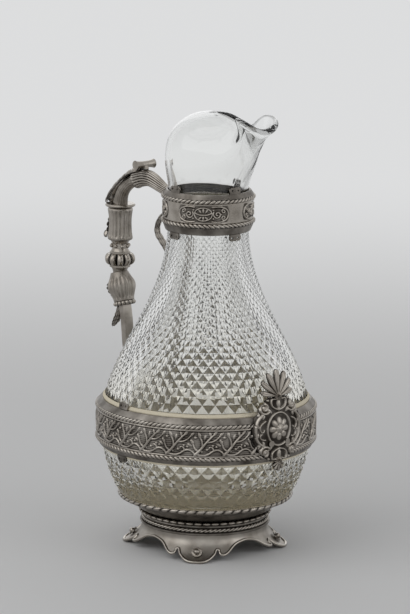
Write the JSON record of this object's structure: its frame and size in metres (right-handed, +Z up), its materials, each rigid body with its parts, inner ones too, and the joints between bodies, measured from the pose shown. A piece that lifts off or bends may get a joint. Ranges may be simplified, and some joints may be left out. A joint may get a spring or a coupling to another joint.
{
  "type": "cut-glass carafe with metal mounts",
  "caption": "Pear-shaped cut-glass carafe with a hooded pouring mouth, held by silver foot, waist band, collar and turned handle.",
  "frame": {"origin": "centre of the foot on the plane it stands on, on the axis of the glass", "axes": "+Z up along the axis of the glass, +X from the axis to the pouring lip, handle towards -X"},
  "size_m": [0.1938, 0.1516, 0.3002],
  "materials": {
    "silver": "polished silver, darkened in the recesses",
    "glass": "clear cut glass",
    "plaster": "cream plaster bedding",
    "steel": "plain turned steel"
  },
  "bodies": {
    "root": {"collar_band": "silver", "collar_cartouches": "silver", "collar_flange_lower": "silver", "collar_flange_upper": "silver", "collar_packing": "plaster", "collar_rope_lower": "silver", "collar_rope_upper": "silver", "collar_tabs_lower": "silver", "collar_tabs_upper": "silver", "foot_apron": "silver", "foot_bolt": "steel", "foot_bosses": "silver", "foot_cup": "silver", "foot_nut": "steel", "foot_ogee_ring": "silver", "foot_packing": "plaster", "foot_rope_ring": "silver", "foot_step_ring": "silver", "foot_tongue_ring": "silver", "foot_washer": "steel", "glass_body": "glass", "handle_abacus": "silver", "handle_arm": "silver", "handle_bracket": "silver", "handle_drop": "silver", "handle_elbow": "silver", "handle_knop": "silver", "handle_knop_plates": "silver", "handle_leaf": "silver", "handle_lower_baluster": "silver", "handle_lower_leaf": "silver", "handle_lower_ring": "silver", "handle_lower_spool": "silver", "handle_rod": "steel", "handle_scroll": "silver", "handle_socket": "silver", "handle_socket_screws": "silver", "handle_tail": "silver", "handle_tail_plate": "silver", "handle_tail_screws": "silver", "handle_upper_baluster": "silver", "handle_upper_leaf": "silver", "handle_upper_spool": "silver", "medallion_crest": "silver", "medallion_frame": "silver", "medallion_pendant": "silver", "medallion_plate": "silver", "medallion_rosette": "silver", "medallion_screws": "silver", "waist_band": "silver", "waist_flange_lower": "silver", "waist_flange_upper": "silver", "waist_packing": "plaster", "waist_rope_lower": "silver", "waist_rope_upper": "silver", "waist_tabs_lower": "silver", "waist_tabs_upper": "silver"}
  },
  "joints": []
}
